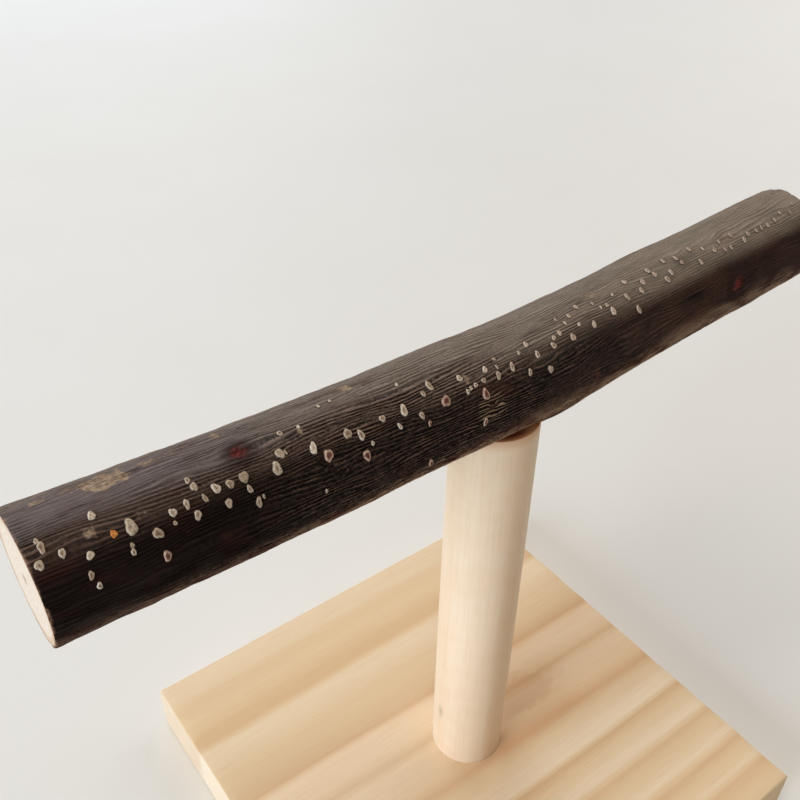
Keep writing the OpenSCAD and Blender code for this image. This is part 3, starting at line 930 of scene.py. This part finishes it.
def makeBoard():
    s = boardSettings
    low, high = [Vector(corner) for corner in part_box("base_board")]
    bpy.ops.mesh.primitive_cube_add(size=1, location=(low + high) / 2, scale=high - low)
    board = settle(bpy.context.object)
    board.name = "board_planed"
    editAll(board)
    bpy.ops.mesh.bevel(offset=s["ease"], segments=s["easeSteps"], profile=0.5, affect="EDGES")
    closeEdit()
    editPicked(board, "edges", lambda ends: (ends[0] - ends[1]).length > 5 * s["ease"])  # all but the bevels' own
    bpy.ops.mesh.subdivide(number_cuts=s["cuts"])
    closeEdit()
    points = pointsOf(board)
    middle, half = np.array((low + high) / 2), np.array((high - low) / 2)
    inset = np.sort(half - np.abs(points - middle), axis=1) / mm  # distance from the three nearest faces
    deep, inward, long, short = s["wear"]
    atEdge = np.exp(-((inset[:, 0] + inset[:, 1]) / inward) ** 2)
    rough = smoothNoise(points / mm / long, 61) + 0.5 * smoothNoise(points / mm / short, 62)
    shrink = deep * mm * atEdge * np.clip(0.5 + rough, 0, 1.5)
    outward = (points - middle) / half
    points -= np.sign(outward) * (np.abs(outward) > 0.95) * shrink[:, None]
    setPoints(board, points)
    cutters = [cylinder(width * mm, start * mm, stop * mm, sides) for width, start, stop, sides in s["cut"]]
    headWidth, recess, below = [size * mm for size in s["sink"]]
    mouth = headWidth / 2 + recess
    bpy.ops.mesh.primitive_cone_add(
        vertices=64, radius1=mouth + below, radius2=0, depth=mouth + below, location=(*postAxis, (mouth - below) / 2),
    )
    cutAway(board, *cutters, bpy.context.object)
    smoothed(board, 30)
    return board


def bandStops():  # from the near side to the far one
    low, high = boardSettings["span"]
    return [((y - low) / (high - low), tone) for y, tone in sorted(boardSettings["bands"])]


def boardFinish():
    f = Finish("pine board")
    s = boardSettings
    x, y, z = f.parts(f.place())
    sway = (f.noise((0.12, 0.5, 0.5), 0.1, 2) - 0.5) * 3
    sway = sway + (f.noise((0.2, 1, 1), 0.35) - 0.5)
    lean, begins, ends = s["lean"]
    sway = sway + x * lean * y.between(*begins) * y.between(*ends)
    dy, dz = s["pithY"] - (y + sway), s["pithZ"] - z
    across = dy * dy + dz * dz - (s["pithZ"] - s["top"]) ** 2
    level = s["pithY"] - across.maths("SQRT")
    low, high = s["span"]
    late = f.node("ValToRGB", {"stops": bandStops()}, {"Fac": (level - low) / (high - low)})
    late = f.node("SeparateColor", None, {"Color": late})
    fibre = f.noise((0.035, 1.6, 1.6), 1.7, 5, 0.62)
    broad = f.noise((0.02, 0.4, 0.4), 0.35)
    dash = f.noise((0.09, 3.2, 3.2), 1, 2).between(0.68, 0.8)
    normal = f.node("NewGeometry", output="Normal")
    endOn = f.parts(normal)[0].maths("ABSOLUTE").between(0.7, 0.9)
    pink, pale = [level.between(*begins) * level.between(*ends) for begins, ends in (s["pink"], s["pale"])]
    # pale: painted light over the middle band, lifting the shade that the branch and post cast there
    pale = (x.between(*s["paleLeft"]) + x.between(*s["paleRight"]) * 0.4) * pale
    late = late * (1 - pale * 0.2)
    # a painted soft shadow of the post beside its foot
    postShadowX, postShadowY, long, wide = s["postShadow"]
    postShadowFar = ((x - postShadowX) / long).hypot((y - postShadowY) / wide)
    postShadow = (postShadowFar + (f.noise((0.6, 1, 1), 0.16) - 0.5) * 2.2).between(1.2, 0.75)
    speck = f.noise((0.4, 1, 1), 4.5, 3, 0.6)
    wood = f.coats(
        f.mix(late.between(0, 0.3), (240, 217, 184), (232, 204, 163)),
        (late.between(0.25, 1), (210, 166, 118)),
        # painted light over the middle band
        (pale * (1 - late * 0.95) * 0.75, (255, 236, 203)),
    )
    colour = f.coats(
        f.mix(pink * 0.35, wood, (255, 232, 220), "MULTIPLY"),
        (broad.between(0.35, 0.75) * 0.25, (224, 188, 146)),
        (fibre.between(0.35, 0.75) * 0.16, (194, 148, 98)),
        (dash * (1 - endOn) * 0.25, (164, 114, 68)),
        # painted shadow of the post
        (postShadow * (1 - endOn) * 0.3, (206, 152, 106)),
        (endOn * (0.55 + speck * 0.25), f.mix(y.between(43, 47), (240, 222, 200), (226, 206, 182))),
    )
    height = fibre * 0.6 + late * 0.25 + endOn * speck * 0.8 - dash * 0.2
    return f.close(colour, 0.58 + fibre * 0.14, height, 0.08 * mm)


finished(makeBoard(), boardFinish(), "base_board")


# The screws, each a turned core with a thread that stays inside the solid's width
screwSettings = {
    "base_screw": {
        "crest": 4.5, "core": 3.2, "head": 9, "start": 0.5, "end": 50.5, "thread": (19, 50), "pitch": 2.2,
    },
    "branch_screw": {
        "crest": 5.5, "core": 4, "head": 0, "start": 130, "end": 169, "thread": (130.4, 168.6), "pitch": 2.6,
    },
    "tip": 1.2, "tipWidth": 0.12, "sides": 32, "turnSteps": 20,
    "slack": 0.02, "rooted": 0.2, "flank": 0.28,  # millimetres inside the solid and in the core; share of the pitch
    "drive": (4.6, 1.1, 2.2, 0.45),  # width, arm, depth, taper
}


def screwWidth(s, z):  # outer width of the solid at a height, in millimetres
    tip = screwSettings["tip"] * s["crest"]
    narrow = s["crest"] * screwSettings["tipWidth"]
    width = np.minimum(s["crest"], narrow + (s["crest"] - narrow) * (s["end"] - z) / tip)
    if not s["head"]:
        width = np.minimum(width, narrow + (s["crest"] - narrow) * (z - s["start"]) / tip)
    return width


def makeThread(s):
    low, high = s["thread"]
    bpy.ops.mesh.primitive_circle_add(vertices=3, radius=1, fill_type="NOTHING")
    thread = bpy.context.object
    slack = screwSettings["slack"]
    core, crest = s["core"] / 2 - screwSettings["rooted"], s["crest"] / 2 - slack
    foot = s["pitch"] * screwSettings["flank"]
    setPoints(thread, np.array([(core, 0, -foot), (crest, 0, 0), (core, 0, foot)]) * mm)
    wind = thread.modifiers.new("wind", "SCREW")
    wind.steps = wind.render_steps = screwSettings["turnSteps"]
    wind.screw_offset, wind.iterations = s["pitch"] * mm, int((high - low) / s["pitch"])
    only(thread)
    bpy.ops.object.modifier_apply(modifier=wind.name)
    bpy.context.tool_settings.mesh_select_mode = (False, True, False)
    bpy.ops.object.mode_set(mode="EDIT")
    bpy.ops.mesh.select_all(action="DESELECT")
    bpy.ops.mesh.select_non_manifold()
    bpy.ops.mesh.edge_face_add()
    closeEdit()
    points = pointsOf(thread)
    points[:, 2] += low * mm
    reach = np.hypot(points[:, 0], points[:, 1]) / mm
    allowed = np.maximum(screwWidth(s, points[:, 2] / mm) / 2 - slack, 0.05)
    shrink = np.minimum(1, allowed / np.maximum(reach, 0.001))
    points[:, :2] = postAxis + points[:, :2] * shrink[:, None]
    setPoints(thread, points)
    return recalculated(thread)


def makeScrew(name):
    s = screwSettings[name]
    low, high = s["thread"]
    tip = screwSettings["tip"] * s["crest"]
    heights = [s["end"] - tip, s["end"] - tip / 2, s["end"]]
    if s["head"]:
        heights = [s["start"], s["start"] + (s["head"] - s["crest"]) / 2, low, low + 1.5] + heights
    else:
        heights = [s["start"], s["start"] + tip / 2, s["start"] + tip] + heights
    profile = []
    for z in heights:
        threaded = z > low + 1 or not s["head"]
        width = min(float(screwWidth(s, z)), s["core"] if threaded else s["crest"] - screwSettings["slack"])
        profile.append(((s["head"] if s["head"] and z == s["start"] else width) / 2 * mm, z * mm))
    screw = turned(name + "_cut", profile, screwSettings["sides"])
    if s["head"]:
        width, arm, deep, taper = screwSettings["drive"]
        cutters = []
        for long, wide in ((width, arm), (arm, width)):
            where = (*postAxis, s["start"] * mm)
            bpy.ops.mesh.primitive_cube_add(size=1, location=where, scale=(long * mm, wide * mm, 2 * deep * mm))
            arms = settle(bpy.context.object)
            editPicked(arms, "polygons", lambda corners: all(corner.z > s["start"] * mm for corner in corners))
            grow = (taper if long > wide else 1, taper if wide > long else 1, 1)
            bpy.ops.transform.resize(value=grow, center_override=where)
            cutters.append(closeEdit())
        cutAway(screw, *cutters)
    joined(screw, makeThread(s))
    smoothed(screw, 35)
    return screw


def steelFinish():
    f = Finish("plated steel")
    scratch = f.noise((1, 1, 6), 3, 4, 0.6)
    tarnish = f.noise((1, 1, 1), 0.8)
    colour = f.mix(tarnish.between(0.35, 0.7) * 0.5, (196, 194, 188), (156, 150, 138))
    return f.close(colour, 0.28 + scratch * 0.2, scratch, 0.03 * mm, Metallic=1)


steel = steelFinish()
for name in ("base_screw", "branch_screw"):
    finished(makeScrew(name), steel, name)


# Camera and light, set from the photo's own view of the board
viewSettings = {
    "lens": 42.73, "sensor": 36,
    "place": (-131.0 * mm, -135.5 * mm, 299.5 * mm),
    "yaw": 37.13, "down": 37.19, "roll": 0.84, "nearest": 10 * mm,
}


def addCamera():
    s = viewSettings
    bpy.ops.object.camera_add(location=s["place"])
    camera = bpy.context.object
    yaw, down, roll = [radians(s[name]) for name in ("yaw", "down", "roll")]
    ahead = Vector((sin(yaw) * cos(down), cos(yaw) * cos(down), -sin(down)))
    right = Vector((cos(yaw), -sin(yaw), 0))
    up = right.cross(ahead)
    across = right * cos(roll) + up * sin(roll)
    upright = up * cos(roll) - right * sin(roll)
    camera.matrix_world = Matrix.Translation(s["place"]) @ Matrix((across, upright, -ahead)).transposed().to_4x4()
    camera.data.lens, camera.data.sensor_width = s["lens"], s["sensor"]
    camera.data.clip_start = s["nearest"]
    bpy.context.scene.camera = camera


lightSettings = {
    # place, size, watts, colour
    "window": ((-1.4, -0.1, 0.5), 0.9, 21, (0.74, 0.86, 1)),
    "backdrop": ((0.3, 1.6, 0.8), 1.4, 13.8, (0.79, 0.89, 1)),
    "side": ((1.4, 0.2, 1), 1.6, 13.9, (0.97, 0.97, 1)),
    "overhead": ((-0.5, 0.1, 1.5), 0.8, 6, (1, 0.83, 0.63)),
    "sky": (1, 0.78, 0.52), "skyStrength": 0.16, "aim": (0, 0, 0.08),
    "floorSize": 8, "floorHeight": -0.2 * mm,
}


def addLight(name):
    place, size, watts, colour = lightSettings[name]
    bpy.ops.object.light_add(type="AREA", location=place)
    lamp = bpy.context.object
    lamp.name, lamp.data.size, lamp.data.energy, lamp.data.color = name, size, watts, colour
    lamp.rotation_euler = (Vector(lightSettings["aim"]) - Vector(place)).to_track_quat("-Z", "Y").to_euler()


def floorFinish():
    f = Finish("pale floor")
    cloud = f.noise((1, 1, 1), 0.01)
    colour = f.mix(cloud.between(0.3, 0.7) * 0.3, (233, 232, 228), (229, 227, 222))
    return f.close(colour, 0.6 + cloud * 0.05, cloud, 0.05 * mm)


addCamera()
for name in ("window", "backdrop", "side", "overhead"):
    addLight(name)
sky = bpy.data.worlds.new("studio")
sky.use_nodes = True
background = sky.node_tree.nodes["Background"].inputs
background["Color"].default_value = (*lightSettings["sky"], 1)
background["Strength"].default_value = lightSettings["skyStrength"]
bpy.context.scene.world = sky
bpy.context.scene.view_settings.view_transform = "Standard"
bpy.ops.mesh.primitive_plane_add(size=lightSettings["floorSize"], location=(0, 0, lightSettings["floorHeight"]))
floor = bpy.context.object
floor.name = "floor"
floor.data.materials.append(floorFinish())
print("camera, lights and floor set")
